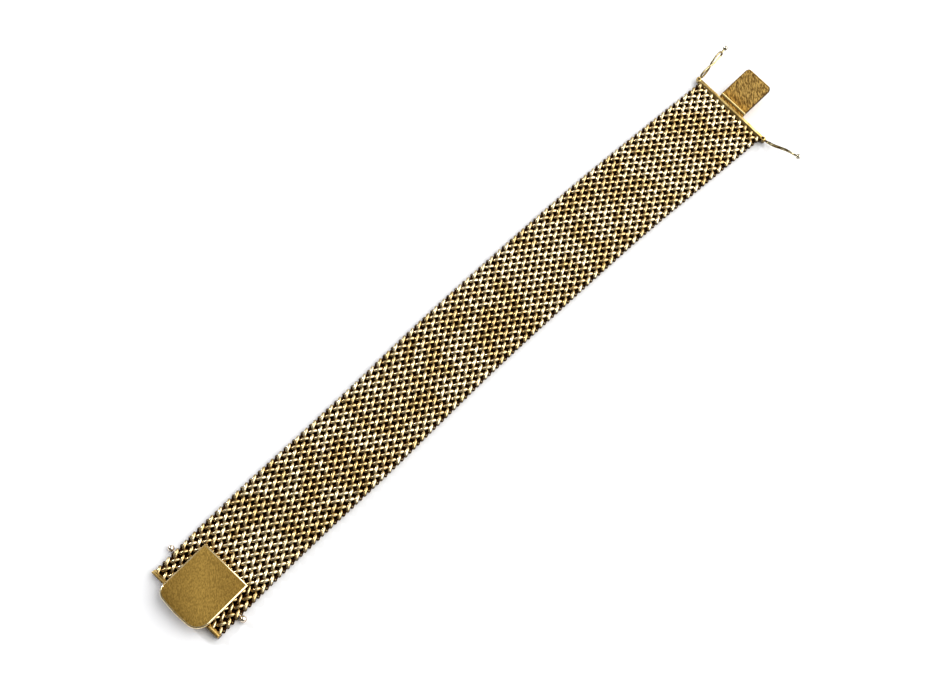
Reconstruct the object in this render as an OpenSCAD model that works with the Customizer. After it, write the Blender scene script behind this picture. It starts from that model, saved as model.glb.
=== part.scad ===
// Woven mesh bracelet with a box clasp and two figure-of-eight safety catches.
// It lies open and face down. The origin is on the surface under the middle of the band,
// +X runs along the band towards the tongue, +Y across it, +Z is up.

/* [Band] */
// Straight distance between the outer faces of the two end bars
band_span = 185; // [150:0.5:210]
// Radius of the gentle sideways bow in which the band lies
bow_radius = 1645; // [800:5:4000]
// Width of the mesh over its edge links
band_width = 22.4; // [14:0.1:30]
// Thickness of the mesh
mesh_thickness = 1.75; // [1.2:0.05:2.4]
// Number of link columns across the band
column_count = 21; // [11:2:31]
// Length of band that one link row takes
row_pitch = 2.725; // [2:0.005:4]
// Depth of the groove between two link columns
groove_depth = 0.35; // [0.1:0.05:0.5]
// Radius of the notch between two edge links
notch_radius = 0.62; // [0.3:0.02:0.8]
// How deep that notch cuts into the edge
notch_depth = 0.45; // [0.2:0.05:0.8]

/* [End bars] */
// Thickness of an end bar along the band
bar_thickness = 1.2; // [0.8:0.1:2]
// Height of an end bar
bar_height = 2.0; // [1.9:0.05:2.2]
// Length of the bar at the box end
box_bar_length = 22.2; // [20:0.1:26]
// Edge chamfer of an end bar
bar_chamfer = 0.15; // [0.05:0.05:0.3]

/* [Clasp box] */
// Length of the back plate along the band
plate_length = 15.95; // [13:0.05:18]
// Width of the back plate
plate_width = 14.5; // [12:0.1:18]
// Thickness of the back plate
plate_thickness = 0.4; // [0.3:0.05:0.6]
// How far the plate stands out past the end bar
plate_overhang = 2.75; // [1:0.05:4]
// Sideways offset of the plate from the bar's middle
plate_offset = -0.65; // [-1:0.05:1]
// Rise of the plate from its inner edge to the mouth, in degrees
plate_tilt = 3.7; // [2:0.1:4]
// Top of the plate over the bar's outer face
plate_top = 3.74; // [3.6:0.02:4.2]
// Radius of the plate's convex outer edge
plate_bulge_radius = 43; // [30:1:200]
// Radius of the plate's outer corner on the left side
plate_corner_left = 2.3; // [0.5:0.1:4]
// Radius of the plate's outer corner on the right side
plate_corner_right = 3.4; // [0.5:0.1:4]
// Outer width of the box under the plate
box_width = 10.2; // [9.8:0.1:13]
// Length of the box
box_length = 12.6; // [12:0.1:13]
// Thickness of the box's side and end walls
box_wall = 0.5; // [0.3:0.05:0.5]
// Thickness of the box's floor sheet
floor_thickness = 0.2; // [0.15:0.05:0.2]
// Height of the mouth under the lip
mouth_height = 0.75; // [0.7:0.05:0.8]
// Length of the lip that the tongue's ridge latches behind
lip_length = 0.9; // [0.5:0.1:0.9]

/* [Tongue] */
// Width of the tongue
tongue_width = 8.35; // [7:0.05:8.4]
// Sideways offset of the tongue from the bar's middle
tongue_offset = 0.3; // [-0.3:0.05:0.3]
// Reach of the tongue from the bar's outer face
tongue_reach = 10.4; // [9:0.1:11.4]
// Thickness of the folded strip
leaf_thickness = 0.25; // [0.2:0.05:0.3]
// Height over both leaves
fold_height = 0.66; // [0.6:0.02:0.8]
// Distance from the bar's outer face to the ridge
ridge_position = 0.8; // [0.7:0.1:2]
// Radius of the raised bead along the ridge
ridge_radius = 0.16; // [0.1:0.02:0.2]
// Upward pitch of the tongue in degrees
tongue_pitch = 15; // [0:0.5:25]
// Radius of the tongue's tip corners
tip_radius = 1.2; // [0.5:0.1:3]

/* [Catches] */
// Distance of a hinge axis from the middle of the band
hinge_offset = 11.85; // [11.7:0.05:13]
// Distance of a hinge axis behind the bar's outer face
hinge_setback = 0.35; // [0.2:0.05:0.6]
// Radius of a hinge pin
pin_radius = 0.3; // [0.25:0.01:0.3]
// Radius of a knuckle
knuckle_radius = 0.54; // [0.5:0.01:0.54]
// Height of the middle of the catch wire
catch_height = 1.25; // [1.2:0.01:1.3]
// Height of the catch's collar
collar_height = 0.8; // [0.6:0.05:0.8]
// Outer radius of the catch's collar
collar_radius = 0.62; // [0.55:0.01:0.62]
// Radius of the catch wire
wire_radius = 0.3; // [0.2:0.01:0.3]
// Outer width of a catch loop
loop_width = 2.6; // [2:0.1:2.6]
// Outward lean of the loops from upright in degrees
loop_lean = 28; // [0:1:40]
// Rise of the loops from level, out from the hinge, in degrees
loop_rise = 17; // [0:1:20]
// Distance from the hinge axis to the ball at the tip
tip_ball_distance = 10.8; // [10.5:0.1:12]
// Radius of the ball at the tip
tip_ball_radius = 0.65; // [0.5:0.05:0.9]
// How far the left catch stands open in degrees
left_open = 6.5; // [0:0.5:120]
// How far the right catch stands open in degrees
right_open = 81.5; // [0:0.5:120]

/* [Studs] */
// Distance of a stud from the bar's outer face
stud_position = 7.0; // [5:0.1:9]
// Distance of a stud's ball from the middle of the band
stud_reach = 12.3; // [12.2:0.05:13]
// Radius of a stud's ball
stud_ball_radius = 0.65; // [0.5:0.05:0.8]
// Radius of a stud's neck
stud_neck_radius = 0.34; // [0.2:0.02:0.4]
// Height of a stud's middle
stud_height = 1.1; // [0.9:0.05:1.2]

/* [Hidden] */
$fn = 48;

// Small gap between pieces that are soldered or rest on each other
seam = 0.05;
// Running clearance of the pin in its knuckles and in the collar
knuckle_clearance = 0.02;
collar_clearance = 0.06;
// Length by which cutting tools pass through what they cut
through = 1;

half_angle = asin(band_span / 2 / bow_radius);
sagitta = bow_radius * (1 - cos(half_angle));

// Angle taken along the bow by a length of band
function bow_angle(length) = length / bow_radius * 180 / PI;

mesh_angle = 2 * (half_angle - bow_angle(bar_thickness + seam));
row_count = floor(mesh_angle / bow_angle(row_pitch));
row_angle = mesh_angle / row_count;

column_pitch = (band_width - 2 * notch_depth) / column_count;
// One column's crown: place across the column, height as a share of the groove's depth
crown_rows = [[0, 0], [0.14, 0.65], [0.32, 1], [0.68, 1], [0.86, 0.65]];

floor_top = bar_height;
floor_bottom = floor_top - floor_thickness;
box_inner_width = box_width - 2 * box_wall;
// Height of the plate's underside at a distance from the bar's outer face
function plate_under(u) = plate_top - plate_thickness / cos(plate_tilt) - u * tan(plate_tilt);
// Overlap that joins the walls to the plate
weld = 0.1;

loop_radius = loop_width / 2 - wire_radius;
stem_radius = wire_radius - 0.02;
near_loop_start = 1.05;
near_loop_end = 4.85;
far_loop_start = 5.25;
far_loop_end = 9.3;
collar_bottom = catch_height - collar_height / 2;
collar_top = catch_height + collar_height / 2;
knuckle_bottom = 0.35;
knuckle_top = bar_height;
tongue_bar_half = hinge_offset - collar_radius - 0.08;

// Local frame of the box end: +X points into the band from the bar's outer face
module at_box_end() {
    translate([-band_span / 2, -sagitta, 0]) rotate(half_angle) children();
}

// Local frame of the tongue end: +X points out of the band from the bar's outer face
module at_tongue_end() {
    translate([band_span / 2, -sagitta, 0]) rotate(-half_angle) children();
}

// A side view outline, drawn in X and Z, made as wide as given and centred across the band
module side_extrude(width) {
    translate([0, width / 2, 0]) rotate([90, 0, 0]) linear_extrude(width) children();
}

// One long run of crowns across the band, from one side to the other
function crown_run(side, base) = [
    for (column = [0 : column_count - 1], row = crown_rows)
        [
            bow_radius + side * (column + row[0] - column_count / 2) * column_pitch,
            base + side * row[1] * groove_depth
        ],
    [bow_radius + side * column_count / 2 * column_pitch, base]
];

// Cross-section of the mesh: crowned link columns on both faces and plain edge links
module mesh_section() {
    edge = band_width / 2;
    low = groove_depth;
    high = mesh_thickness - groove_depth;
    polygon(concat(
        crown_run(1, high),
        [[bow_radius + edge, high - groove_depth / 2], [bow_radius + edge, low + groove_depth / 2]],
        crown_run(-1, low),
        [[bow_radius - edge, low + groove_depth / 2], [bow_radius - edge, high - groove_depth / 2]]
    ));
}

// Upright notches between the edge links, one per row on each side
module edge_notches() {
    for (side = [-1, 1], row = [0 : row_count])
        translate([0, -bow_radius, 0])
            rotate(90 - mesh_angle / 2 + row * row_angle)
                translate([bow_radius + side * (band_width / 2 + notch_radius - notch_depth), 0, -through])
                    cylinder(h = mesh_thickness + 2 * through, r = notch_radius, $fn = 24);
}

// Sockets in the long edges that hold the necks of the studs
module stud_sockets() {
    at_box_end() for (side = [-1, 1])
        translate([stud_position, side * (band_width / 2 - 1), stud_height])
            rotate([-side * 90, 0, 0])
                cylinder(h = 1 + through, r = stud_neck_radius + knuckle_clearance);
}

module mesh_band() {
    color("goldenrod") difference() {
        translate([0, -bow_radius, 0])
            rotate(90 - mesh_angle / 2)
                rotate_extrude(angle = mesh_angle, $fn = 720) mesh_section();
        edge_notches();
        stud_sockets();
    }
}

// A chamfered end bar that reaches from its outer face at X = 0 to the given X
module end_bar(length, inner_x) {
    side = sign(inner_x);
    c = bar_chamfer;
    side_extrude(length) polygon([
        [side * c, 0], [inner_x, 0], [inner_x, bar_height],
        [side * c, bar_height], [0, bar_height - c], [0, c]
    ]);
}

// Plan of the back plate: square inner end at X = 0, rounded and convex outer end at -X
module plate_outline() {
    far = -plate_length;
    half = plate_width / 2;
    big = max(plate_corner_left, plate_corner_right);
    intersection() {
        union() {
            translate([far + big, -half]) square([plate_length - big, plate_width]);
            translate([far, -half + plate_corner_right])
                square([big, plate_width - plate_corner_left - plate_corner_right]);
            translate([far + plate_corner_left, half - big])
                square([big, big]);
            translate([far + plate_corner_right, -half]) square([big, big]);
            translate([far + plate_corner_left, half - plate_corner_left])
                circle(plate_corner_left);
            translate([far + plate_corner_right, -half + plate_corner_right])
                circle(plate_corner_right);
        }
        translate([far + plate_bulge_radius, 0]) circle(plate_bulge_radius, $fn = 240);
    }
}

// The back plate, tilted so that it rises towards the mouth
module back_plate() {
    translate([0, plate_offset, plate_top])
        rotate([0, plate_tilt, 0])
            translate([plate_length - plate_overhang, 0, -plate_thickness])
                linear_extrude(plate_thickness) plate_outline();
}

// The wedge-shaped box: floor, side walls, end wall and the lip over the mouth
module box_shell() {
    inner_end = box_length - box_wall;
    difference() {
        side_extrude(box_width) polygon([
            [0, floor_bottom], [box_length, floor_bottom],
            [box_length, plate_under(box_length) + weld], [0, plate_under(0) + weld]
        ]);
        side_extrude(box_inner_width) polygon([
            [-through, floor_top], [inner_end, floor_top],
            [inner_end, plate_under(inner_end)], [lip_length, plate_under(lip_length)],
            [lip_length, floor_top + mouth_height], [-through, floor_top + mouth_height]
        ]);
    }
}

module clasp_box() {
    color("darkgoldenrod") at_box_end() union() {
        end_bar(box_bar_length, bar_thickness);
        box_shell();
        back_plate();
    }
}

// A ball stud whose neck stands in the edge of the mesh; side is 1 for left and -1 for right
module stud(side) {
    neck_start = band_width / 2 - 1 + seam;
    at_box_end() translate([stud_position, 0, stud_height]) union() {
        translate([0, side * neck_start, 0])
            rotate([-side * 90, 0, 0]) cylinder(h = stud_reach - neck_start, r = stud_neck_radius);
        translate([0, side * stud_reach, 0]) sphere(stud_ball_radius);
    }
}

module stud_left() {
    color("gold") stud(1);
}

module stud_right() {
    color("gold") stud(-1);
}

// The folded strip in its own frame: X along it, Z up from the underside of the lower leaf
module folded_strip() {
    root = bar_thickness / 2;
    fold_radius = fold_height / 2;
    straight = tongue_reach - fold_radius;
    half = tongue_width / 2;
    difference() {
        union() {
            translate([-root, -half, 0]) cube([straight + root, tongue_width, leaf_thickness]);
            translate([ridge_position, -half, fold_height - leaf_thickness])
                cube([straight - ridge_position, tongue_width, leaf_thickness]);
            translate([ridge_position + ridge_radius, half, fold_height])
                rotate([90, 0, 0]) cylinder(h = tongue_width, r = ridge_radius);
            intersection() {
                translate([straight, half, fold_radius]) rotate([90, 0, 0]) difference() {
                    cylinder(h = tongue_width, r = fold_radius);
                    translate([0, 0, -through])
                        cylinder(h = tongue_width + 2 * through, r = fold_radius - leaf_thickness);
                }
                translate([straight, -half, 0]) cube([fold_radius, tongue_width, fold_height]);
            }
        }
        for (side = [-1, 1])
            translate([tongue_reach - tip_radius, side * (half - tip_radius), -through])
                difference() {
                    translate([0, side > 0 ? 0 : -tip_radius - through, 0])
                        cube([tip_radius + through, tip_radius + through, fold_height + 3 * through]);
                    cylinder(h = fold_height + 3 * through, r = tip_radius);
                }
    }
}

// Two lugs at one end of the bar with the bore for the hinge pin
module knuckles(side) {
    reach = hinge_offset - tongue_bar_half + weld;
    difference() {
        union() for (span = [[knuckle_bottom, collar_bottom - seam], [collar_top + seam, knuckle_top]]) {
            translate([-hinge_setback, side * hinge_offset, span[0]])
                cylinder(h = span[1] - span[0], r = knuckle_radius);
            translate([
                -hinge_setback - knuckle_radius,
                side > 0 ? hinge_offset - reach : -hinge_offset,
                span[0]
            ]) cube([knuckle_radius + hinge_setback - bar_chamfer, reach, span[1] - span[0]]);
        }
        translate([-hinge_setback, side * hinge_offset, -through])
            cylinder(h = bar_height + 2 * through, r = pin_radius + knuckle_clearance);
    }
}

module clasp_tongue() {
    color("darkgoldenrod") at_tongue_end() union() {
        end_bar(2 * tongue_bar_half, -bar_thickness);
        translate([0, tongue_offset, bar_height - leaf_thickness])
            rotate([0, -tongue_pitch, 0]) folded_strip();
        for (side = [-1, 1]) knuckles(side);
    }
}

module hinge_pin(side) {
    at_tongue_end() translate([-hinge_setback, side * hinge_offset, knuckle_bottom])
        cylinder(h = knuckle_top - knuckle_bottom, r = pin_radius);
}

module hinge_pin_left() {
    color("gold") hinge_pin(1);
}

module hinge_pin_right() {
    color("gold") hinge_pin(-1);
}

// One long wire loop lying flat, from one X to another along its centre line
module wire_loop(from, to) {
    straight = to - from - 2 * loop_radius;
    for (turn = [0, 1])
        translate([turn == 0 ? to - loop_radius : from + loop_radius, 0, 0])
            rotate(turn * 180 - 90)
                rotate_extrude(angle = 180) translate([loop_radius, 0]) circle(wire_radius, $fn = 24);
    for (side = [-1, 1])
        translate([from + loop_radius, side * loop_radius, 0])
            rotate([0, 90, 0]) cylinder(h = straight, r = wire_radius, $fn = 24);
}

// A catch in its own frame: hinge axis on Z, pointing along +X; side leans the loops outwards
module catch_shape(side) {
    difference() {
        union() {
            translate([0, 0, collar_bottom]) cylinder(h = collar_height, r = collar_radius);
            translate([0, 0, catch_height]) rotate([0, 90, 0])
                cylinder(h = near_loop_start, r = stem_radius);
            translate([0, 0, catch_height]) rotate([0, -loop_rise, 0]) {
                rotate([90 - side * loop_lean, 0, 0]) {
                    wire_loop(near_loop_start, near_loop_end);
                    wire_loop(far_loop_start, far_loop_end);
                }
                translate([far_loop_end, 0, 0]) rotate([0, 90, 0])
                    cylinder(h = tip_ball_distance - far_loop_end, r = stem_radius);
                translate([tip_ball_distance, 0, 0]) sphere(tip_ball_radius);
            }
        }
        translate([0, 0, collar_bottom - through])
            cylinder(h = collar_height + 2 * through, r = pin_radius + collar_clearance);
    }
}

module safety_catch(side, open_angle) {
    at_tongue_end() translate([-hinge_setback, side * hinge_offset, 0])
        rotate(side * open_angle) catch_shape(side);
}

module safety_catch_left() {
    color("gold") safety_catch(1, left_open);
}

module safety_catch_right() {
    color("gold") safety_catch(-1, right_open);
}

mesh_band();
clasp_box();
stud_left();
stud_right();
clasp_tongue();
hinge_pin_left();
hinge_pin_right();
safety_catch_left();
safety_catch_right();
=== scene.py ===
"""A woven gold mesh bracelet that lies open, with its box clasp and two safety catches.

Every piece is modelled in millimetres in the frame of its own end of the band,
and then placed in metres in the frame of the CAD part.
"""

import logging
import math
from dataclasses import dataclass
from enum import Enum

import bmesh
import bpy
from mathutils import Matrix, Vector, noise

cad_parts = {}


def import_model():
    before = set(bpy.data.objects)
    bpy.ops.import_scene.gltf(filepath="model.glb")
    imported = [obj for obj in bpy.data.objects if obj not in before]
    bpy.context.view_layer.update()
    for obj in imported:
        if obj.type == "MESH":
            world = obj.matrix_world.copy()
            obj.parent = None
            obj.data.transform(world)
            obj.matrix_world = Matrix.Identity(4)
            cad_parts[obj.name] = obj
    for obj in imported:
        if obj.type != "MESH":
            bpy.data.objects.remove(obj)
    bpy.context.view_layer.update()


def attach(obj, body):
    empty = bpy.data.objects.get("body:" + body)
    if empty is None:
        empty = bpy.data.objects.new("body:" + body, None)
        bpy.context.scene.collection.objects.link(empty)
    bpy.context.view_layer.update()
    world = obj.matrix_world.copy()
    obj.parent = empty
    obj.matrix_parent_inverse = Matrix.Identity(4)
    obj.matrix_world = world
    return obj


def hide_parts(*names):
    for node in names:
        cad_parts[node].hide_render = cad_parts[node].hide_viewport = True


LOG = logging.getLogger("bracelet")
MM = 0.001
FULL_TURN = 2 * math.pi
# Millimetres under which two points are welded, and under which a point lies on a plane
WELD = 1e-5
TOUCH = 1e-4
# Share of a face's normal that lies along an axis above which the face looks that way
FACING = 0.9

Colour = tuple[float, float, float]
Point = tuple[float, float, float]


class Body(Enum):
    """The CAD bodies that a piece can ride on."""

    BAND = "band"
    CATCH_LEFT = "catch_left"
    CATCH_RIGHT = "catch_right"


class Slot(Enum):
    """The record's material slots."""

    MESH = "mesh_gold"
    PLATE = "plate_gold"
    TONGUE = "tongue_gold"
    WIRE = "wire_gold"


class Side(Enum):
    """A long side of the band, as the sign of Y."""

    LEFT = 1
    RIGHT = -1

    @property
    def word(self) -> str:
        """The side's name as used in the CAD nodes."""
        return self.name.lower()


@dataclass(frozen=True)
class Layout:
    """The band's line, its two ends and the catches' hinges, in millimetres, as in the CAD part."""

    band_span: float = 185.0
    bow_radius: float = 1645.0
    bar_thickness: float = 1.2
    bar_height: float = 2.0
    bar_slope: float = 0.55
    seam: float = 0.05
    hinge_offset: float = 11.85
    hinge_setback: float = 0.35

    @property
    def half_angle(self) -> float:
        """Half the angle that the band takes of its bow, in radians."""
        return math.asin(self.band_span / 2 / self.bow_radius)

    @property
    def sagitta(self) -> float:
        """How far the band's ends stand back from its middle."""
        return self.bow_radius * (1 - math.cos(self.half_angle))

    @property
    def box_end(self) -> Matrix:
        """Frame of the box end, whose +X points into the band from the bar's outer face."""
        return Matrix.Translation((-self.band_span / 2, -self.sagitta, 0)) @ Matrix.Rotation(
            self.half_angle, 4, "Z")

    @property
    def tongue_end(self) -> Matrix:
        """Frame of the tongue end, whose +X points out of the band from the bar's outer face."""
        return Matrix.Translation((self.band_span / 2, -self.sagitta, 0)) @ Matrix.Rotation(
            -self.half_angle, 4, "Z")

    def hinge(self, side: Side) -> tuple[float, float]:
        """X and Y of the hinge of a side's catch, in the frame of the tongue end."""
        return -self.hinge_setback, side.value * self.hinge_offset


LAYOUT = Layout()


# Node groups and finishes


class NodeSheet:
    """A node tree with short calls that place nodes and join them."""

    spacing = (180, -60)
    rows = 3

    def __init__(self, tree: bpy.types.NodeTree) -> None:
        """Keeps the tree and counts the nodes, so that each stands apart from the others."""
        self.tree = tree
        self.placed = 0

    def node(self, kind: str, values: dict | None = None, **settings: object) -> bpy.types.Node:
        """Adds a node.

        Args:
            kind: The node's type name.
            values: Values of its unlinked inputs, by name or index.
            settings: Attributes set on the node.

        Returns:
            The new node.
        """
        made = self.tree.nodes.new(kind)
        made.location = (self.spacing[0] * self.placed, self.spacing[1] * (self.placed % self.rows))
        self.placed += 1
        for key, value in settings.items():
            setattr(made, key, value)
        for key, value in (values or {}).items():
            made.inputs[key].default_value = value
        return made

    def join(self, start: bpy.types.NodeSocket, end: bpy.types.NodeSocket) -> None:
        """Links one socket to another."""
        self.tree.links.new(start, end)


class GroupSheet(NodeSheet):
    """A shader node group with named inputs and outputs."""

    def __init__(self, name: str, inputs: dict[str, str], outputs: dict[str, str]) -> None:
        """Makes the group.

        Args:
            name: The group's name.
            inputs: Socket type of each input, by name.
            outputs: Socket type of each output, by name.
        """
        super().__init__(bpy.data.node_groups.new(name, "ShaderNodeTree"))
        for way, sockets in (("INPUT", inputs), ("OUTPUT", outputs)):
            for label, kind in sockets.items():
                self.tree.interface.new_socket(label, in_out=way, socket_type=kind)
        self.start = self.node("NodeGroupInput")
        self.end = self.node("NodeGroupOutput")

    def feed(self, sockets: dict[str, bpy.types.NodeSocket]) -> None:
        """Links the group's inputs, by name, to the inputs of its nodes."""
        for label, socket in sockets.items():
            self.join(self.start.outputs[label], socket)


def clouded_group() -> bpy.types.NodeTree:
    """Builds the group that clouds one tone into another.

    Returns:
        A group that gives a colour.
    """
    sheet = GroupSheet(
        "clouded_tone",
        {"Place": "NodeSocketVector", "Tone": "NodeSocketColor", "Second Tone": "NodeSocketColor",
         "Scale": "NodeSocketFloat", "Share": "NodeSocketFloat", "Spread": "NodeSocketFloat"},
        {"Color": "NodeSocketColor"})
    clouds = sheet.node("ShaderNodeTexNoise", {"Detail": 3.0, "Roughness": 0.6})
    low = sheet.node("ShaderNodeMath", operation="SUBTRACT")
    high = sheet.node("ShaderNodeMath", operation="ADD")
    ramp = sheet.node("ShaderNodeMapRange", interpolation_type="SMOOTHSTEP")
    mix = sheet.node("ShaderNodeMix", data_type="RGBA")
    sheet.feed({"Place": clouds.inputs["Vector"], "Scale": clouds.inputs["Scale"],
                "Tone": mix.inputs["A"], "Second Tone": mix.inputs["B"]})
    for edge, bound in ((low, "From Min"), (high, "From Max")):
        sheet.feed({"Share": edge.inputs[0], "Spread": edge.inputs[1]})
        sheet.join(edge.outputs[0], ramp.inputs[bound])
    sheet.join(clouds.outputs["Fac"], ramp.inputs["Value"])
    sheet.join(ramp.outputs["Result"], mix.inputs["Factor"])
    sheet.join(mix.outputs["Result"], sheet.end.inputs["Color"])
    return sheet.tree


def distance_group() -> bpy.types.NodeTree:
    """Builds the group that tints a tone by its distance from a plane.

    Returns:
        A group that gives a colour.
    """
    sheet = GroupSheet(
        "tint_by_distance",
        {"Place": "NodeSocketVector", "Tone": "NodeSocketColor", "Axis": "NodeSocketVector",
         "Middle": "NodeSocketFloat", "Near": "NodeSocketFloat", "Far": "NodeSocketFloat",
         "Near Tint": "NodeSocketColor", "Far Tint": "NodeSocketColor"},
        {"Color": "NodeSocketColor"})
    along = sheet.node("ShaderNodeVectorMath", operation="DOT_PRODUCT")
    away = sheet.node("ShaderNodeMath", operation="SUBTRACT")
    size = sheet.node("ShaderNodeMath", operation="ABSOLUTE")
    ramp = sheet.node("ShaderNodeMapRange", interpolation_type="SMOOTHSTEP")
    tint = sheet.node("ShaderNodeMix", data_type="RGBA")
    stain = sheet.node("ShaderNodeMix", {"Factor": 1.0}, data_type="RGBA", blend_type="MULTIPLY")
    sheet.feed({"Place": along.inputs[0], "Axis": along.inputs[1], "Middle": away.inputs[1],
                "Near": ramp.inputs["From Min"], "Far": ramp.inputs["From Max"],
                "Near Tint": tint.inputs["A"], "Far Tint": tint.inputs["B"],
                "Tone": stain.inputs["A"]})
    sheet.join(along.outputs["Value"], away.inputs[0])
    sheet.join(away.outputs[0], size.inputs[0])
    sheet.join(size.outputs[0], ramp.inputs["Value"])
    sheet.join(ramp.outputs["Result"], tint.inputs["Factor"])
    sheet.join(tint.outputs["Result"], stain.inputs["B"])
    sheet.join(stain.outputs["Result"], sheet.end.inputs["Color"])
    return sheet.tree


def grain_group() -> bpy.types.NodeTree:
    """Builds the group for fine brushing or sand grain.

    Returns:
        A group that gives a height and a roughness.
    """
    sheet = GroupSheet(
        "brushed_grain",
        {"Place": "NodeSocketVector", "Scale": "NodeSocketFloat",
         "Smooth": "NodeSocketFloat", "Rough": "NodeSocketFloat"},
        {"Height": "NodeSocketFloat", "Roughness": "NodeSocketFloat"})
    lines = sheet.node("ShaderNodeTexNoise", {"Detail": 4.0, "Roughness": 0.65})
    ramp = sheet.node("ShaderNodeMapRange", {"From Min": 0.3, "From Max": 0.7})
    sheet.feed({"Place": lines.inputs["Vector"], "Scale": lines.inputs["Scale"],
                "Smooth": ramp.inputs["To Min"], "Rough": ramp.inputs["To Max"]})
    sheet.join(lines.outputs["Fac"], ramp.inputs["Value"])
    sheet.join(lines.outputs["Fac"], sheet.end.inputs["Height"])
    sheet.join(ramp.outputs["Result"], sheet.end.inputs["Roughness"])
    return sheet.tree


class Effects:
    """The node groups that the finishes share."""

    def __init__(self) -> None:
        """Builds each group once."""
        self.clouded = clouded_group()
        self.distance = distance_group()
        self.grain = grain_group()


@dataclass(frozen=True)
class GoldFinish:
    """A gold surface: its tones, its grain and polish, and a tint by the distance from a plane.

    The plane has the given axis and lies at middle along it. Near and far are the distances in
    metres at which the tint starts and ends to change; the defaults give the far tint everywhere.
    """

    name: str
    tone: Colour
    second_tone: Colour
    near_tint: Colour = (1.0, 1.0, 1.0)
    far_tint: Colour = (1.0, 1.0, 1.0)
    cloud_scale: float = 300.0
    cloud_share: float = 0.5
    cloud_spread: float = 0.12
    axis: Point = (0.0, 0.0, 1.0)
    middle: float = 0.0
    near: float = -0.002
    far: float = -0.001
    grain_scale: float = 1500.0
    streak: Point = (1.0, 1.0, 1.0)
    turn_deg: float = 0.0
    smooth: float = 0.2
    rough: float = 0.3
    bump: float = 0.1
    bump_distance: float = 0.00002

    def build(self, effects: Effects) -> bpy.types.Material:
        """Builds the material.

        Args:
            effects: The shared node groups.

        Returns:
            The new material.
        """
        material = bpy.data.materials.new(self.name)
        material.use_nodes = True
        sheet = NodeSheet(material.node_tree)
        gloss = material.node_tree.nodes["Principled BSDF"]
        gloss.inputs["Metallic"].default_value = 1.0
        place = sheet.node("ShaderNodeTexCoord").outputs["Object"]
        turned = sheet.node("ShaderNodeMapping", {
            "Rotation": (0, 0, math.radians(self.turn_deg)), "Scale": self.streak},
            vector_type="TEXTURE")
        clouds = sheet.node("ShaderNodeGroup", node_tree=effects.clouded)
        distance = sheet.node("ShaderNodeGroup", node_tree=effects.distance)
        grain = sheet.node("ShaderNodeGroup", node_tree=effects.grain)
        bump = sheet.node("ShaderNodeBump", {"Strength": self.bump, "Distance": self.bump_distance})
        for group, values in (
                (clouds, {"Tone": (*self.tone, 1), "Second Tone": (*self.second_tone, 1),
                          "Scale": self.cloud_scale, "Share": self.cloud_share,
                          "Spread": self.cloud_spread}),
                (distance, {"Axis": self.axis, "Middle": self.middle, "Near": self.near,
                            "Far": self.far, "Near Tint": (*self.near_tint, 1),
                            "Far Tint": (*self.far_tint, 1)}),
                (grain, {"Scale": self.grain_scale, "Smooth": self.smooth,
                         "Rough": self.rough})):
            for label, value in values.items():
                group.inputs[label].default_value = value
        sheet.join(place, distance.inputs["Place"])
        sheet.join(place, turned.inputs["Vector"])
        sheet.join(turned.outputs["Vector"], clouds.inputs["Place"])
        sheet.join(turned.outputs["Vector"], grain.inputs["Place"])
        sheet.join(clouds.outputs["Color"], distance.inputs["Tone"])
        sheet.join(distance.outputs["Color"], gloss.inputs["Base Color"])
        sheet.join(grain.outputs["Roughness"], gloss.inputs["Roughness"])
        sheet.join(grain.outputs["Height"], bump.inputs["Height"])
        sheet.join(bump.outputs["Normal"], gloss.inputs["Normal"])
        return material


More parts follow.
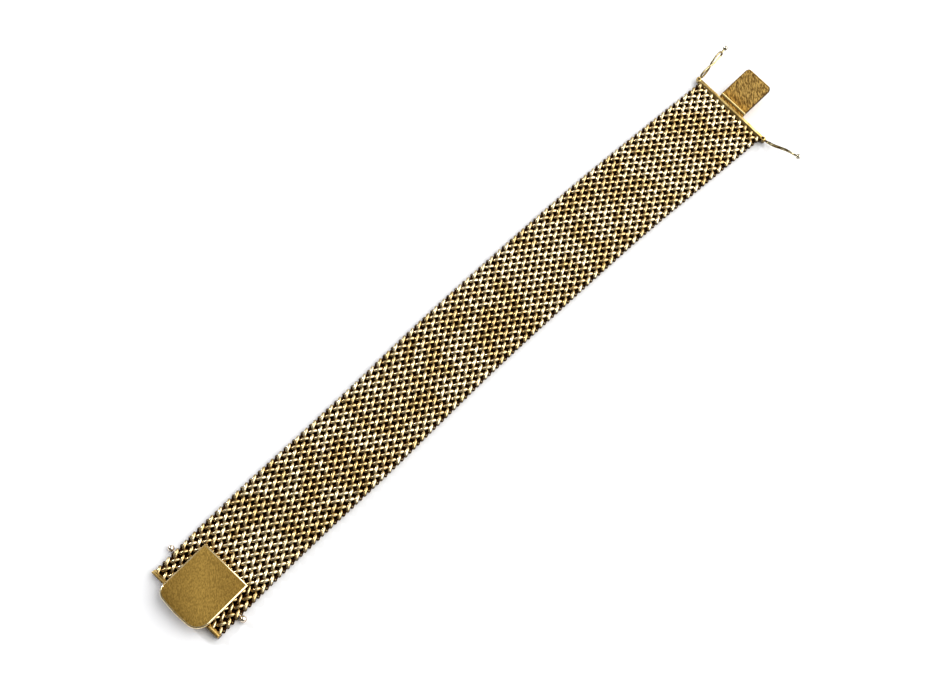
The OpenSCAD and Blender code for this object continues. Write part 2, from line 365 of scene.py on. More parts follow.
class Finishes:
    """Every material of the bracelet."""

    def __init__(self) -> None:
        """Builds the materials from their finishes."""
        effects = Effects()
        # The near tint is painted shade: the wire darkens towards the band's mid-plane, so the
        # coils' flanks and undersides stay dark.
        self.coils = GoldFinish(
            "coil_gold", (0.86, 0.73, 0.48), (0.62, 0.46, 0.22), near_tint=(0.045, 0.018, 0.004),
            cloud_scale=220, middle=0.000875, near=0.00022, far=0.0006,
            smooth=0.22, rough=0.36, bump=0.12).build(effects)
        # Painted shade: a near-black finish for the sheet that stands for the shade inside the
        # weave.
        self.core = GoldFinish(
            "painted_shade_sheet", (0.008, 0.002, 0.0003), (0.016, 0.005, 0.001),
            cloud_scale=900, smooth=0.6, rough=0.8).build(effects)
        # The far tint is painted shading: the plate greys and darkens away from a band across it,
        # along the view's horizontal.
        self.plate = GoldFinish(
            "plate_satin_gold", (0.64, 0.42, 0.116), (0.39, 0.25, 0.065),
            far_tint=(0.56, 0.53, 0.48), axis=(0.72, -0.69, 0.0), middle=-0.0609,
            near=-0.004, far=0.013, cloud_scale=4500, streak=(2.5, 1.0, 1.0), turn_deg=50,
            grain_scale=6000, smooth=0.24, rough=0.36, bump=0.25).build(effects)
        self.rim = GoldFinish(
            "polished_rim_gold", (0.95, 0.82, 0.54), (0.90, 0.70, 0.38),
            smooth=0.12, rough=0.24, bump=0.05).build(effects)
        # The bead's pale tone is a painted highlight along the tongue's ridge.
        self.bead = GoldFinish(
            "bead_gold", (0.98, 0.82, 0.44), (0.92, 0.70, 0.30),
            smooth=0.2, rough=0.3, bump=0.05).build(effects)
        # Painted shade: a dark brown for the tongue strip's side faces and the ring along its top
        # edges, where shade falls.
        self.edge = GoldFinish(
            "painted_shade_edge_gold", (0.16, 0.09, 0.03), (0.09, 0.05, 0.02),
            smooth=0.3, rough=0.5).build(effects)
        # The near tint is painted shade: the bar darkens towards the floor, fully within 0.6 mm of
        # it.
        self.bar = GoldFinish(
            "bar_gold", (0.84, 0.62, 0.26), (0.52, 0.35, 0.12), near_tint=(0.2, 0.16, 0.18),
            near=0.0006, far=0.0018, smooth=0.18, rough=0.34).build(effects)
        # The near tint is a painted reflection: the strip turns more orange within a few
        # millimetres of the bar's outer face.
        self.tongue = GoldFinish(
            "tongue_brushed_gold", (0.80, 0.53, 0.17), (0.20, 0.115, 0.035),
            near_tint=(1.0, 0.86, 0.62), axis=(1.0, 0.0, 0.0), middle=0.0925, near=0.0006,
            far=0.0045, cloud_scale=4200, cloud_spread=0.1, streak=(6.0, 1.0, 1.0), turn_deg=50,
            grain_scale=2500, smooth=0.22, rough=0.42, bump=0.5).build(effects)
        self.wire = GoldFinish(
            "wire_gold_finish", (0.62, 0.54, 0.33), (0.22, 0.16, 0.07),
            cloud_scale=500, cloud_spread=0.07, smooth=0.08, rough=0.18).build(effects)
        # The near tint is painted shade: the stud darkens around the ball's waist and along its
        # neck, at the ball's middle height.
        self.stud = GoldFinish(
            "stud_gold", (0.97, 0.88, 0.74), (0.60, 0.42, 0.28), near_tint=(0.22, 0.10, 0.05),
            cloud_scale=1500, cloud_share=0.6, cloud_spread=0.05,
            middle=0.0010, near=0.0001, far=0.0006, smooth=0.10, rough=0.2).build(effects)
        # The near tint is painted shade: each tip ball darkens in a ring around its waist.
        self.tip_ball = GoldFinish(
            "tip_ball_gold", (0.78, 0.74, 0.62), (0.40, 0.36, 0.26), near_tint=(0.3, 0.27, 0.2),
            cloud_scale=1200, cloud_share=0.5, cloud_spread=0.08,
            middle=0.0043, near=0.0001, far=0.0005, smooth=0.10, rough=0.2).build(effects)


# Modelling helpers


def make_piece(name: str, shape: bmesh.types.BMesh, place: Matrix, body: Body,
               materials: list[bpy.types.Material], stands_for: str,
               sharp_deg: float = 35.0) -> bpy.types.Object:
    """Turns a closed shape in millimetres into a finished piece.

    Args:
        name: The piece's name.
        shape: The shape, which is freed here.
        place: Where the shape's own frame stands, in millimetres.
        body: The CAD body that the piece rides on.
        materials: Its materials, in the order of the faces' material index.
        stands_for: The CAD node that it replaces.
        sharp_deg: Angle above which an edge is shaded sharp.

    Returns:
        The new object.
    """
    bmesh.ops.remove_doubles(shape, verts=shape.verts, dist=WELD)
    shape.transform(Matrix.Scale(MM, 4) @ place)
    bmesh.ops.recalc_face_normals(shape, faces=shape.faces)
    for face in shape.faces:
        face.smooth = True
    mesh = bpy.data.meshes.new(name)
    shape.to_mesh(mesh)
    shape.free()
    mesh.set_sharp_from_angle(angle=math.radians(sharp_deg))
    for material in materials:
        mesh.materials.append(material)
    piece = bpy.data.objects.new(name, mesh)
    bpy.context.scene.collection.objects.link(piece)
    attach(piece, body.value)
    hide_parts(stands_for)
    LOG.info("%s: %d faces, stands for %s", name, len(mesh.polygons), stands_for)
    return piece


def add_block(shape: bmesh.types.BMesh, low: Point, high: Point) -> list[bmesh.types.BMVert]:
    """Adds a box.

    Args:
        shape: The shape to add to.
        low: Its lowest corner.
        high: Its highest corner.

    Returns:
        The new vertices.
    """
    low_corner, high_corner = Vector(low), Vector(high)
    size = high_corner - low_corner
    matrix = Matrix.Translation((low_corner + high_corner) / 2) @ Matrix.Diagonal((*size, 1))
    return bmesh.ops.create_cube(shape, size=1.0, matrix=matrix)["verts"]


def add_rod(shape: bmesh.types.BMesh, start: Point, end: Point, radius: float,
            segments: int = 20) -> list[bmesh.types.BMVert]:
    """Adds a closed cylinder between two points.

    Args:
        shape: The shape to add to.
        start: Middle of its first end.
        end: Middle of its other end.
        radius: Its radius.
        segments: Sides round it.

    Returns:
        The new vertices.
    """
    a, b = Vector(start), Vector(end)
    turn = (b - a).to_track_quat("Z", "Y").to_matrix().to_4x4()
    return bmesh.ops.create_cone(
        shape, cap_ends=True, segments=segments, radius1=radius, radius2=radius,
        depth=(b - a).length, matrix=Matrix.Translation((a + b) / 2) @ turn)["verts"]


def add_ball(shape: bmesh.types.BMesh, matrix: Matrix, radius: float) -> list[bmesh.types.BMVert]:
    """Adds a ball, whose poles lie on the matrix's Z axis."""
    return bmesh.ops.create_uvsphere(shape, u_segments=28, v_segments=16, radius=radius,
                                     matrix=matrix)["verts"]


def paint_faces(verts: list[bmesh.types.BMVert], index: int) -> None:
    """Gives the faces round the given vertices a material index."""
    for face in {face for vert in verts for face in vert.link_faces}:
        face.material_index = index


def edges_of(verts: list[bmesh.types.BMVert]) -> list[bmesh.types.BMEdge]:
    """Lists the edges between the given vertices, each once and always in the same order."""
    edges = dict.fromkeys(edge for vert in verts for edge in vert.link_edges)
    return [edge for edge in edges if all(end in verts for end in edge.verts)]


def soften(shape: bmesh.types.BMesh, edges: list[bmesh.types.BMEdge], width: float,
           segments: int = 2) -> list[bmesh.types.BMFace]:
    """Rounds edges.

    Args:
        shape: The shape to change.
        edges: The edges to round.
        width: Width of the rounding.
        segments: Faces across it.

    Returns:
        The new faces.
    """
    return bmesh.ops.bevel(shape, geom=edges, offset=width, offset_type="OFFSET",
                           segments=segments, profile=0.5, affect="EDGES",
                           clamp_overlap=True, material=-1)["faces"]


def sharp_edges(edges: list[bmesh.types.BMEdge],
                least_deg: float = 40.0) -> list[bmesh.types.BMEdge]:
    """Keeps the edges whose faces meet at more than an angle."""
    return [edge for edge in edges
            if len(edge.link_faces) == 2 and edge.calc_face_angle(0.0) > math.radians(least_deg)]


def slope_bar(shape: bmesh.types.BMesh, inward: int) -> None:
    """Slopes a bar's inner side down to where the mesh runs in.

    Args:
        shape: The bar alone, with its outer face at X = 0.
        inward: Sign of X towards the mesh.
    """
    corner = [edge for edge in shape.edges
              if all(end.co.x * inward > LAYOUT.bar_thickness - TOUCH
                     and end.co.z > LAYOUT.bar_height - TOUCH for end in edge.verts)]
    soften(shape, corner, LAYOUT.bar_slope, segments=1)


def wire_mesh(path: list[Vector], radius: float, closed: bool, detail: int = 3) -> bpy.types.Mesh:
    """Makes a round wire along a path.

    Args:
        path: Points of its centre line.
        radius: Its radius.
        closed: Whether its end joins its start; an open wire gets rounded ends.
        detail: Bevel resolution, of which 1 gives six sides.

    Returns:
        A mesh of the wire's surface.
    """
    thickness = [1.0] * len(path)
    if not closed:
        # Each added point's distance from the path's end and its thickness, in radii
        tips = ((0.7, 0.3), (0.5, 0.7))
        first, last = (path[0] - path[1]).normalized(), (path[-1] - path[-2]).normalized()
        path = [*(path[0] + first * radius * reach for reach, _ in tips), *path,
                *(path[-1] + last * radius * reach for reach, _ in reversed(tips))]
        thickness = [*(size for _, size in tips), *thickness,
                     *(size for _, size in reversed(tips))]
    curve = bpy.data.curves.new("wire_path", "CURVE")
    curve.dimensions = "3D"
    curve.bevel_depth = radius
    curve.bevel_resolution = detail
    curve.use_fill_caps = not closed
    line = curve.splines.new("POLY")
    line.points.add(len(path) - 1)
    for spot, point, thick in zip(line.points, path, thickness):
        spot.co = (*point, 1.0)
        spot.radius = thick
    line.use_cyclic_u = closed
    holder = bpy.data.objects.new("wire_path", curve)
    mesh = bpy.data.meshes.new_from_object(holder)
    bpy.data.objects.remove(holder)
    bpy.data.curves.remove(curve)
    return mesh


# The bracelet


@dataclass(frozen=True)
class CoilKind:
    """One of the two kinds of flat coil that hook into each other along the band."""

    name: str
    hand: int
    first_turn: float
    phase: float


@dataclass(frozen=True)
class Sway:
    """A stretch of the band that lies a little to one side of its bow, in millimetres."""

    reach: float
    middle: float
    spread: float

    def at(self, along: float) -> float:
        """How far to the left the band lies at a place along it."""
        return self.reach * math.exp(-((along - self.middle) / self.spread) ** 2)


@dataclass
class MeshBand:
    """The woven band: flat coils that run across it, wound to the left and right by turns."""

    finishes: Finishes
    width: float = 22.4
    thickness: float = 1.75
    columns: int = 21
    rows: int = 67
    wire: float = 0.49
    coil_half: float = 0.82
    turn_points: int = 12
    wander: float = 0.05
    wander_scale: float = 0.14
    noise_seed: int = 7
    half_span: float = 10.9
    sways: tuple[Sway, ...] = (Sway(-0.75, -36.0, 26.0), Sway(0.3, 48.0, 20.0))
    bite: float = 0.5
    bar_room: float = 11.0
    core_inset: float = 0.9
    core_thickness: float = 0.2
    core_height: float = 0.6
    shade_deg: float = 80.0
    kinds: tuple[CoilKind, ...] = (
        CoilKind("mesh_coils_even", -1, 0.0, 0.08),
        CoilKind("mesh_coils_odd", 1, 0.5, 0.58),
    )

    @property
    def mesh_angle(self) -> float:
        """Angle of the bow between the end bars, in radians."""
        covered = LAYOUT.bar_thickness + LAYOUT.seam
        return 2 * (LAYOUT.half_angle - covered / LAYOUT.bow_radius)

    def on_bow(self, angle: float) -> Matrix:
        """Turns the band's middle to another place on its bow.

        Args:
            angle: The turn about the bow's centre, in radians.

        Returns:
            The matrix of that turn.
        """
        centre = Vector((0, -LAYOUT.bow_radius, 0))
        return (Matrix.Translation(centre) @ Matrix.Rotation(angle, 4, "Z")
                @ Matrix.Translation(-centre))

    def coil_path(self, kind: CoilKind) -> list[Vector]:
        """Lists the points of a coil's centre line, with its axis along Y.

        Args:
            kind: The kind of coil.

        Returns:
            The points, from one edge of the band to the other.
        """
        rise = self.thickness / 2 - self.wire
        steps = self.columns * self.turn_points // 2
        path = []
        for step in range(steps + 1):
            turn = FULL_TURN * (kind.first_turn + step / self.turn_points)
            path.append(Vector((self.coil_half * math.cos(turn),
                                kind.hand * self.half_span * (2 * step / steps - 1),
                                self.thickness / 2 + rise * math.sin(turn))))
        return path

    def lattice(self, kind: CoilKind) -> bmesh.types.BMesh:
        """Repeats a coil along the bow, into both end bars.

        Args:
            kind: The kind of coil.

        Returns:
            The coils of that kind.
        """
        shape = bmesh.new()
        mesh = wire_mesh(self.coil_path(kind), self.wire, closed=False, detail=1)
        shape.from_mesh(mesh)
        bpy.data.meshes.remove(mesh)
        row_angle = self.mesh_angle / self.rows
        shape.transform(self.on_bow(self.mesh_angle / 2 - (kind.phase - 1) * row_angle))
        bmesh.ops.spin(shape, geom=[*shape.verts, *shape.edges, *shape.faces],
                       cent=(0, -LAYOUT.bow_radius, 0), axis=(0, 0, 1),
                       angle=-row_angle * (self.rows + 1), steps=self.rows + 1, use_duplicate=True)
        return shape

    def settle(self, shape: bmesh.types.BMesh) -> None:
        """Lets the band sway a little and the coils wander from their rows, as woven wire does.

        Args:
            shape: The part of the band to move.
        """
        for vert in shape.verts:
            drift = noise.noise_vector(vert.co * self.wander_scale)
            aside = sum(sway.at(vert.co.x) for sway in self.sways)
            vert.co.x += drift.x * self.wander
            vert.co.y += drift.y * self.wander + aside

    def trim(self, shape: bmesh.types.BMesh) -> None:
        """Cuts the coils off inside both end bars and keeps them within the bars' ends.

        Args:
            shape: The coils.
        """
        for end, way in ((LAYOUT.box_end, -1), (LAYOUT.tongue_end, 1)):
            cut = bmesh.ops.bisect_plane(
                shape, geom=[*shape.verts, *shape.edges, *shape.faces], dist=WELD, clear_outer=True,
                plane_co=end @ Vector((-way * self.bite, 0, 0)),
                plane_no=end.to_3x3() @ Vector((way, 0, 0)))["geom_cut"]
            bmesh.ops.holes_fill(
                shape, edges=[item for item in cut if isinstance(item, bmesh.types.BMEdge)])
            for vert in shape.verts:
                spot = end.inverted() @ vert.co
                if -way * spot.x < LAYOUT.bar_thickness:
                    spot.y = max(-self.bar_room, min(self.bar_room, spot.y))
                    vert.co = end @ spot

    def core(self) -> bpy.types.Object:
        """Builds the near-black sheet of painted shade that closes the view between the coils.

        Returns:
            The core.
        """
        shape = bmesh.new()
        half = self.width / 2 - self.core_inset
        ends = [shape.verts.new((0, side * half, self.core_height)) for side in (-1, 1)]
        shape.edges.new(ends)
        shape.transform(self.on_bow(self.mesh_angle / 2))
        bmesh.ops.spin(shape, geom=[*shape.verts, *shape.edges], cent=(0, -LAYOUT.bow_radius, 0),
                       axis=(0, 0, 1), angle=-self.mesh_angle, steps=self.rows, use_merge=False)
        bmesh.ops.solidify(shape, geom=list(shape.faces), thickness=self.core_thickness)
        self.settle(shape)
        return make_piece("mesh_shade_sheet", shape, Matrix.Identity(4), Body.BAND,
                          [self.finishes.core], "mesh_band")

    def build(self) -> list[bpy.types.Object]:
        """Builds the core and both kinds of coils.

        Returns:
            The three pieces of the band.
        """
        noise.seed_set(self.noise_seed)
        made = [self.core()]
        for kind in self.kinds:
            shape = self.lattice(kind)
            self.settle(shape)
            self.trim(shape)
            made.append(make_piece(kind.name, shape, Matrix.Identity(4), Body.BAND,
                                   [self.finishes.coils], "mesh_band", self.shade_deg))
        return made


@dataclass
class ClaspBox:
    """The box end: its bar, the hollow box and the satin back plate with a polished rim."""

    finishes: Finishes
    bar_length: float = 22.2
    bar_round: float = 0.12
    bar_sharp_deg: float = 20.0
    plate_length: float = 15.95
    plate_width: float = 14.5
    plate_thickness: float = 0.4
    plate_overhang: float = 2.75
    plate_offset: float = -0.65
    plate_tilt_deg: float = 3.7
    plate_top: float = 3.74
    bulge_radius: float = 43.0
    bulge_cuts: int = 15
    corner_left: float = 2.3
    corner_right: float = 3.4
    corner_steps: int = 10
    rim_width: float = 0.38
    rim_steps: int = 3
    box_width: float = 10.2
    box_length: float = 12.6
    wall: float = 0.5
    floor_bottom: float = 1.8
    floor_top: float = 2.0
    seat: float = 0.05
    mouth_frame: float = 0.12
    mouth_height: float = 0.75
    lip_length: float = 0.9
    lip_step: float = 0.01
    lip_rise: float = 0.32
    ceiling_gap: float = 0.02
    box_round: float = 0.06

    def bar(self) -> bpy.types.Object:
        """Builds the bar that the mesh ends in.

        Returns:
            The bar.
        """
        shape = bmesh.new()
        half = self.bar_length / 2
        add_block(shape, (0, -half, 0), (LAYOUT.bar_thickness, half, LAYOUT.bar_height))
        slope_bar(shape, 1)
        soften(shape, sharp_edges(list(shape.edges), self.bar_sharp_deg), self.bar_round)
        return make_piece("box_bar", shape, LAYOUT.box_end, Body.BAND,
                          [self.finishes.bar], "clasp_box")

    def under_plate(self, x: float) -> float:
        """Height of the plate's underside at a distance from the bar's outer face."""
        tilt = math.radians(self.plate_tilt_deg)
        return self.plate_top - self.plate_thickness / math.cos(tilt) - x * math.tan(tilt)

    def shell(self) -> bpy.types.Object:
        """Builds the hollow box, with its mouth and lip.

        Returns:
            The box without its bar and plate.
        """
        shape = bmesh.new()
        half = self.box_width / 2
        inner = half - self.wall
        deep = self.box_length - self.wall
        mouth_top = self.floor_top + self.mouth_height
        ceiling = self.under_plate(deep) - self.ceiling_gap
        verts = add_block(shape, (0, -half, self.floor_bottom), (self.box_length, half, ceiling))
        for vert in verts:
            if vert.co.z > self.floor_top:
                vert.co.z = self.under_plate(vert.co.x) + self.seat
        front = min(shape.faces, key=lambda face: face.calc_center_median().x)
        bmesh.ops.inset_region(shape, faces=[front], thickness=self.mouth_frame,
                               use_even_offset=True)
        by_height = sorted(front.verts, key=lambda vert: vert.co.z)
        for height, pair in ((self.floor_top, by_height[:2]), (mouth_top, by_height[2:])):
            for vert in pair:
                vert.co = Vector((0, math.copysign(inner, vert.co.y), height))
        for reach, lift in ((self.lip_length, 0.0),
                            (self.lip_length + self.lip_step, self.lip_rise), (deep, 0.0)):
            grown = bmesh.ops.extrude_face_region(shape, geom=[front])["geom"]
            bmesh.ops.delete(shape, geom=[front], context="FACES_ONLY")
            front = next(item for item in grown if isinstance(item, bmesh.types.BMFace))
            for vert in front.verts:
                vert.co.x = reach
                if vert.co.z > self.floor_top + TOUCH:
                    vert.co.z = min(vert.co.z + lift, ceiling)
        outer = [edge for edge in shape.edges
                 if all(abs(abs(end.co.y) - half) < TOUCH for end in edge.verts)]
        soften(shape, sharp_edges(outer), self.box_round)
        return make_piece("box_shell", shape, LAYOUT.box_end, Body.BAND,
                          [self.finishes.bar], "clasp_box")

    def plate(self) -> bpy.types.Object:
        """Builds the back plate, whose edges are rounded to a bright rim.

        Returns:
            The plate.
        """
        shape = bmesh.new()
        half, far = self.plate_width / 2, -self.plate_length
        add_block(shape, (far, -half, -self.plate_thickness), (0, half, 0))
        for side, width in ((1, self.corner_left), (-1, self.corner_right)):
            corner = [edge for edge in shape.edges
                      if all(end.co.x < far + TOUCH and end.co.y * side > half - TOUCH
                             for end in edge.verts)]
            soften(shape, corner, width, self.corner_steps)
        outer = [edge for edge in shape.edges
                 if all(end.co.x < far + TOUCH for end in edge.verts)
                 and edge.calc_length() > self.plate_thickness + TOUCH]
        bmesh.ops.subdivide_edges(shape, edges=outer, cuts=self.bulge_cuts, use_grid_fill=True)
        for vert in shape.verts:
            if vert.co.x < far / 2:
                vert.co.x += self.bulge_radius - math.sqrt(self.bulge_radius ** 2 - vert.co.y ** 2)
        rim = [edge for edge in sharp_edges(list(shape.edges))
               if all(end.co.z > -TOUCH for end in edge.verts)]
        polished = soften(shape, rim, self.rim_width, self.rim_steps)
        for face in shape.faces:
            face.material_index = 1 if face in polished or abs(face.normal.z) < FACING else 0
        tilt = Matrix.Rotation(math.radians(self.plate_tilt_deg), 4, "Y")
        lift = Matrix.Translation((0, self.plate_offset, self.plate_top))
        slide = Matrix.Translation((self.plate_length - self.plate_overhang, 0, 0))
        return make_piece("back_plate", shape, LAYOUT.box_end @ lift @ tilt @ slide, Body.BAND,
                          [self.finishes.plate, self.finishes.rim], "clasp_box")

    def build(self) -> list[bpy.types.Object]:
        """Builds the pieces of the box end."""
        return [self.bar(), self.shell(), self.plate()]


@dataclass
class BallStud:
    """One of the two ball studs that the catches snap over."""

    finishes: Finishes
    side: Side
    position: float = 7.0
    reach: float = 12.15
    ball_radius: float = 0.82
    neck_radius: float = 0.34
    height: float = 1.1
    neck_start: float = 10.25

    def build(self) -> bpy.types.Object:
        """Builds the ball and its neck.

        Returns:
            The stud.
        """
        shape = bmesh.new()
        sign = self.side.value
        tip = (0, sign * self.reach, 0)
        upright = Matrix.Rotation(math.pi / 2, 4, "X")
        add_ball(shape, Matrix.Translation(tip) @ upright, self.ball_radius)
        add_rod(shape, (0, sign * self.neck_start, 0), tip, self.neck_radius)
        place = LAYOUT.box_end @ Matrix.Translation((self.position, 0, self.height))
        name = f"ball_stud_{self.side.word}"
        return make_piece(name, shape, place, Body.BAND, [self.finishes.stud],
                          f"stud_{self.side.word}")


@dataclass
class ClaspTongue:
    """The tongue end: its bar with the hinge lugs and the folded spring strip."""

    finishes: Finishes
    bar_half: float = 11.15
    edge_round: float = 0.06
    width: float = 8.35
    offset: float = 0.3
    reach: float = 10.4
    leaf: float = 0.25
    fold_height: float = 0.66
    fold_steps: int = 12
    fold_rows: tuple[float, ...] = (0.5, 0.2)
    bead_radius: float = 0.36
    bead_sides: int = 16
    bead_sink: float = 0.2
    bead_setback: float = 0.1
    free_edge: float = 0.8
    outline: float = 0.16
    outline_depth: float = 0.02
    side_share: float = 0.5
    pitch_deg: float = 15.0
    tip_radius: float = 1.2
    knuckle_radius: float = 0.54
    knuckle_sides: int = 28
    knuckle_spans: tuple[tuple[float, float], ...] = ((0.35, 0.80), (1.70, 2.0))
    lug_overlap: float = 0.1
    lug_inset: float = 0.02
    pin_radius: float = 0.3
    pin_sides: int = 24
    pin_round: float = 0.08

    def bar(self) -> bpy.types.Object:
        """Builds the bar and the lugs at its ends.

        Returns:
            The bar.
        """
        shape = bmesh.new()
        add_block(shape, (-LAYOUT.bar_thickness, -self.bar_half, 0),
                  (0, self.bar_half, LAYOUT.bar_height))
        slope_bar(shape, -1)
        for side in Side:
            x, y = LAYOUT.hinge(side)
            near, far = sorted((side.value * (self.bar_half - self.lug_overlap), y))
            for low, high in self.knuckle_spans:
                add_rod(shape, (x, y, low), (x, y, high), self.knuckle_radius, self.knuckle_sides)
                add_block(shape, (x - self.knuckle_radius, near, low), (-self.lug_inset, far, high))
        soften(shape, sharp_edges(list(shape.edges)), self.edge_round)
        return make_piece("tongue_bar", shape, LAYOUT.tongue_end, Body.BAND,
                          [self.finishes.bar], "clasp_tongue")

    def strip(self) -> bpy.types.Object:
        """Builds the folded strip, with rounded tip corners and a bead along its free edge.

        Returns:
            The strip.
        """
        shape = bmesh.new()
        half = self.width / 2
        fold = self.fold_height / 2
        straight = self.reach - fold
        corner = self.reach - self.tip_radius
        root = LAYOUT.bar_thickness / 2
        stops = [straight / 2, corner, *(straight - row for row in self.fold_rows)]
        ends = [shape.verts.new((-root, side * half, self.leaf)) for side in (-1, 1)]
        line = [shape.edges.new(ends)]
        for x in (*stops, straight):
            line = self.pull(shape, line, x)
        turned = bmesh.ops.spin(shape, geom=[*line, *line[0].verts], cent=(straight, 0, fold),
                                axis=(0, -1, 0), angle=math.pi, steps=self.fold_steps)["geom_last"]
        line = [item for item in turned if isinstance(item, bmesh.types.BMEdge)]
        for x in (*reversed(stops), self.free_edge):
            line = self.pull(shape, line, x)
        shape.normal_update()
        bmesh.ops.solidify(shape, geom=list(shape.faces), thickness=self.leaf)
        for vert in shape.verts:
            past = vert.co.x - corner
            if past > 0:
                room = math.sqrt(max(self.tip_radius ** 2 - past ** 2, 0.0))
                limit = half - self.tip_radius + room
                vert.co.y = max(-limit, min(limit, vert.co.y))
        shape.normal_update()
        # Painted shade: the side faces and a thin ring round the top faces take the dark edge
        # finish.
        lowest = self.fold_height - self.outline_depth
        top = [face for face in shape.faces
               if face.normal.z > FACING and face.calc_center_median().z > lowest]
        ring = bmesh.ops.inset_region(shape, faces=top, thickness=self.outline,
                                      use_even_offset=True)["faces"]
        for face in shape.faces:
            if face in ring or abs(face.normal.y) > self.side_share:
                face.material_index = 2
        x, z = self.free_edge + self.bead_setback, self.fold_height - self.bead_sink
        paint_faces(add_rod(shape, (x, -half, z), (x, half, z), self.bead_radius, self.bead_sides),
                    1)
        place = (LAYOUT.tongue_end
                 @ Matrix.Translation((0, self.offset, LAYOUT.bar_height - self.leaf))
                 @ Matrix.Rotation(-math.radians(self.pitch_deg), 4, "Y"))
        return make_piece("tongue_strip", shape, place, Body.BAND,
                          [self.finishes.tongue, self.finishes.bead, self.finishes.edge],
                          "clasp_tongue")

    def pull(self, shape: bmesh.types.BMesh, line: list[bmesh.types.BMEdge],
             x: float) -> list[bmesh.types.BMEdge]:
        """Extrudes the strip's end line to a new X.

        Args:
            shape: The strip so far.
            line: Its end line.
            x: Where the new end line stands.

        Returns:
            The new end line.
        """
        grown = bmesh.ops.extrude_edge_only(shape, edges=line)["geom"]
        for vert in (item for item in grown if isinstance(item, bmesh.types.BMVert)):
            vert.co.x = x
        return [item for item in grown if isinstance(item, bmesh.types.BMEdge)]

    def pin(self, side: Side) -> bpy.types.Object:
        """Builds a hinge pin with a domed head.

        Args:
            side: The side of the band that it stands on.

        Returns:
            The pin.
        """
        shape = bmesh.new()
        low, high = self.knuckle_spans[0][0], self.knuckle_spans[1][1]
        x, y = LAYOUT.hinge(side)
        verts = add_rod(shape, (x, y, low), (x, y, high), self.pin_radius, self.pin_sides)
        top = [edge for edge in edges_of(verts)
               if all(end.co.z > high - TOUCH for end in edge.verts)]
        soften(shape, top, self.pin_round, segments=3)
        return make_piece(f"pin_{side.word}", shape, LAYOUT.tongue_end, Body.BAND,
                          [self.finishes.wire], f"hinge_pin_{side.word}")

    def build(self) -> list[bpy.types.Object]:
        """Builds the pieces of the tongue end."""
        return [self.bar(), self.strip(), *(self.pin(side) for side in Side)]


@dataclass
class SafetyCatch:
    """A safety catch: a wire figure of eight with a ball at its tip, hinged on the tongue's bar."""

    finishes: Finishes
    side: Side
    open_deg: float
    height: float = 1.25
    collar_height: float = 0.8
    collar_radius: float = 0.62
    bore_radius: float = 0.36
    collar_steps: int = 28
    wire_radius: float = 0.26
    half_width: float = 0.56
    fullness: float = 0.6
    lean_deg: float = 28.0
    bend: float = 0.0
    rise_deg: float = 17.0
    loop_start: float = 1.05
    pinch: float = 5.05
    loop_end: float = 9.3
    ball_distance: float = 10.8
    ball_radius: float = 0.65
    points: int = 96
    joint_overlap: float = 0.1

    def figure_eight(self) -> list[Vector]:
        """Lists the points of the wire's centre line, in the plane of its loops.

        Returns:
            The points of a closed path, whose two strands pass over each other at the pinch.
        """
        path = []
        for step in range(self.points):
            turn = FULL_TURN * step / self.points
            end = self.loop_end if math.cos(turn) > 0 else self.loop_start
            reach = abs(end - self.pinch)
            swing = math.sin(2 * turn)
            wide = math.copysign(abs(swing) ** self.fullness, swing) * self.half_width
            path.append(Vector((self.pinch + reach * math.cos(turn), wide,
                                -self.wire_radius / 2 * math.sin(turn))))
        return path

    def collar(self, shape: bmesh.types.BMesh) -> None:
        """Adds the ring that turns on the hinge pin, spun from its wall's section.

        Args:
            shape: The shape to add to.
        """
        middle = Matrix.Translation(((self.bore_radius + self.collar_radius) / 2, 0, self.height))
        upright = Matrix.Rotation(math.pi / 2, 4, "X")
        size = Matrix.Diagonal(((self.collar_radius - self.bore_radius) / 2,
                                self.collar_height / 2, 1, 1))
        verts = bmesh.ops.create_grid(shape, x_segments=1, y_segments=1, size=1.0,
                                      matrix=middle @ upright @ size)["verts"]
        bmesh.ops.delete(shape, geom=list(shape.faces), context="FACES_ONLY")
        bmesh.ops.spin(shape, geom=[*verts, *edges_of(verts)], axis=(0, 0, 1), angle=FULL_TURN,
                       steps=self.collar_steps, use_merge=True)

    def build(self) -> bpy.types.Object:
        """Builds the catch as one piece on its own body.

        Returns:
            The catch.
        """
        shape = bmesh.new()
        self.collar(shape)
        rise = (Matrix.Translation((0, 0, self.height))
                @ Matrix.Rotation(-math.radians(self.rise_deg), 4, "Y"))
        lean = Matrix.Rotation(math.radians(90 - self.side.value * self.lean_deg), 4, "X")
        loops = wire_mesh(self.figure_eight(), self.wire_radius, closed=True)
        loops.transform(lean)
        for vert in loops.vertices:
            along = (vert.co.x - self.loop_start) / (self.loop_end - self.loop_start)
            vert.co.y -= self.bend * math.sin(FULL_TURN * along)
        loops.transform(rise)
        shape.from_mesh(loops)
        root, pinned, loose, tip = (
            rise @ Vector((reach, 0, 0))
            for reach in (0, self.loop_start, self.loop_end, self.ball_distance))
        root.x += self.bore_radius + self.joint_overlap
        for start, end in ((root, pinned), (loose, tip)):
            add_rod(shape, start, end, self.wire_radius)
        paint_faces(add_ball(shape, Matrix.Translation(tip), self.ball_radius), 1)
        place = (LAYOUT.tongue_end @ Matrix.Translation((*LAYOUT.hinge(self.side), 0))
                 @ Matrix.Rotation(self.side.value * math.radians(self.open_deg), 4, "Z"))
        body = Body.CATCH_LEFT if self.side is Side.LEFT else Body.CATCH_RIGHT
        return make_piece(f"catch_{self.side.word}_wire", shape, place, body,
                          [self.finishes.wire, self.finishes.tip_ball],
                          f"safety_catch_{self.side.word}")


# The studio


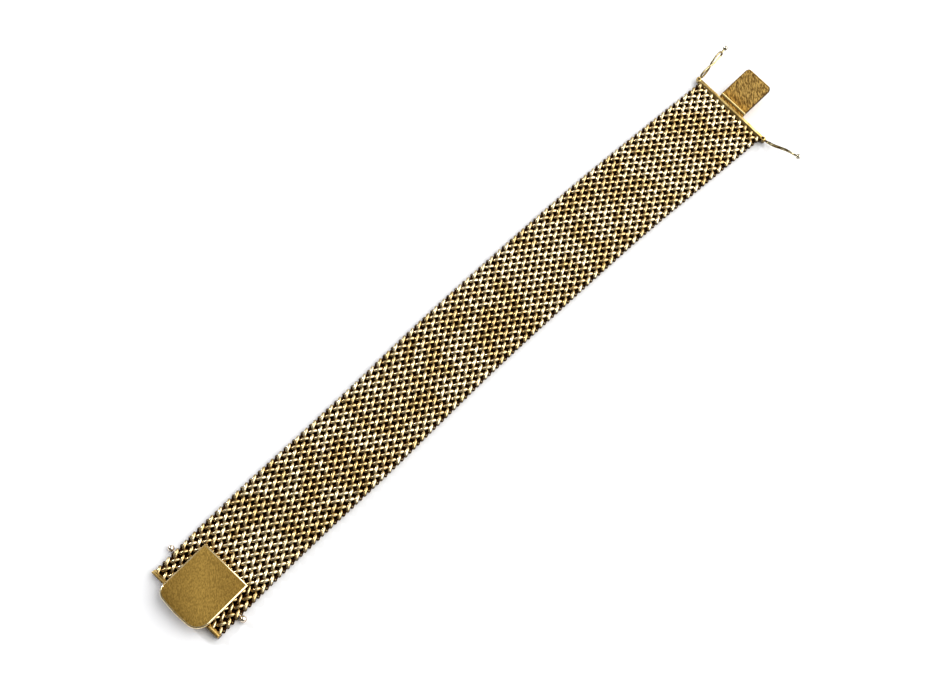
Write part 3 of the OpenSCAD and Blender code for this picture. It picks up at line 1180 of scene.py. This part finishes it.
@dataclass(frozen=True)
class Camera:
    """The camera of the photograph, whose focal length is in pixels of its 933 pixel width."""

    place: Point = (-80.92, -98.11, 321.67)
    right: Point = (0.7208, -0.6924, -0.0306)
    up: Point = (0.6548, 0.6658, 0.3577)
    focal_px: float = 1408.27
    image_width: int = 933
    sensor_mm: float = 36.0
    reach_m: tuple[float, float] = (0.01, 20.0)

    def build(self) -> bpy.types.Object:
        """Builds the camera and makes it the scene's.

        Returns:
            The camera.
        """
        data = bpy.data.cameras.new("photo_camera")
        data.sensor_width = self.sensor_mm
        data.lens = self.focal_px / self.image_width * self.sensor_mm
        data.clip_start, data.clip_end = self.reach_m
        camera = bpy.data.objects.new("photo_camera", data)
        right, up = Vector(self.right).normalized(), Vector(self.up).normalized()
        back = right.cross(up).normalized()
        axes = Matrix((right, back.cross(right), back)).transposed().to_4x4()
        camera.matrix_world = Matrix.Translation(Vector(self.place) * MM) @ axes
        bpy.context.scene.collection.objects.link(camera)
        bpy.context.scene.camera = camera
        return camera


@dataclass(frozen=True)
class SoftLight:
    """A square area light that faces the bracelet."""

    name: str
    direction: Point
    distance: float
    size: float
    power: float
    tint: Colour = (1.0, 1.0, 1.0)

    def build(self) -> bpy.types.Object:
        """Builds the light.

        Returns:
            The light.
        """
        data = bpy.data.lights.new(self.name, "AREA")
        data.shape = "SQUARE"
        data.size = self.size
        data.energy = self.power
        data.color = self.tint
        light = bpy.data.objects.new(self.name, data)
        towards = Vector(self.direction).normalized()
        light.location = towards * self.distance
        light.rotation_mode = "QUATERNION"
        light.rotation_quaternion = towards.to_track_quat("Z", "Y")
        bpy.context.scene.collection.objects.link(light)
        return light


@dataclass
class Studio:
    """A plain white floor, soft lights and an even pale surround."""

    floor_half: float = 3.0
    floor_tone: Colour = (0.98, 0.98, 0.98)
    floor_rough: float = 0.9
    floor_gloss: float = 0.1
    surround: float = 0.14
    lights: tuple[SoftLight, ...] = (
        SoftLight("key_right", (0.55, -0.53, 0.66), 1.2, 1.4, 17.5),
        SoftLight("far_end", (0.88, 0.2, 0.45), 1.5, 0.9, 4.0),
        SoftLight("low_left", (-0.22, 0.98, 0.66), 1.5, 0.12, 6.5, (0.94, 0.95, 1.0)),
        SoftLight("overhead", (0.22, 0.28, 0.93), 1.5, 1.5, 3.6),
    )

    def floor(self) -> bpy.types.Object:
        """Builds the floor.

        Returns:
            The floor.
        """
        shape = bmesh.new()
        bmesh.ops.create_grid(shape, x_segments=1, y_segments=1, size=self.floor_half)
        mesh = bpy.data.meshes.new("floor")
        shape.to_mesh(mesh)
        shape.free()
        paint = bpy.data.materials.new("floor_white")
        paint.use_nodes = True
        coat = paint.node_tree.nodes["Principled BSDF"]
        coat.inputs["Base Color"].default_value = (*self.floor_tone, 1)
        coat.inputs["Roughness"].default_value = self.floor_rough
        coat.inputs["Specular IOR Level"].default_value = self.floor_gloss
        mesh.materials.append(paint)
        floor = bpy.data.objects.new("floor", mesh)
        bpy.context.scene.collection.objects.link(floor)
        return floor

    def build(self) -> None:
        """Builds the floor, the lights and the surround."""
        self.floor()
        for light in self.lights:
            light.build()
        world = bpy.data.worlds.new("pale_surround")
        world.use_nodes = True
        sky = world.node_tree.nodes["Background"]
        sky.inputs["Color"].default_value = (1.0, 1.0, 1.0, 1)
        sky.inputs["Strength"].default_value = self.surround
        bpy.context.scene.world = world
        view = bpy.context.scene.view_settings
        view.view_transform, view.look = "Standard", "Medium High Contrast"


def main() -> None:
    """Builds the bracelet round the CAD frame, then the studio, and reports each piece."""
    logging.basicConfig(level=logging.INFO, format="%(name)s: %(message)s")
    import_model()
    Camera().build()
    finishes = Finishes()
    MeshBand(finishes).build()
    ClaspBox(finishes).build()
    for side in Side:
        BallStud(finishes, side).build()
    ClaspTongue(finishes).build()
    SafetyCatch(finishes, Side.LEFT, open_deg=6.5).build()
    SafetyCatch(finishes, Side.RIGHT, open_deg=81.5, lean_deg=34.0, bend=0.17).build()
    Studio().build()


if __name__ == "__main__":
    main()
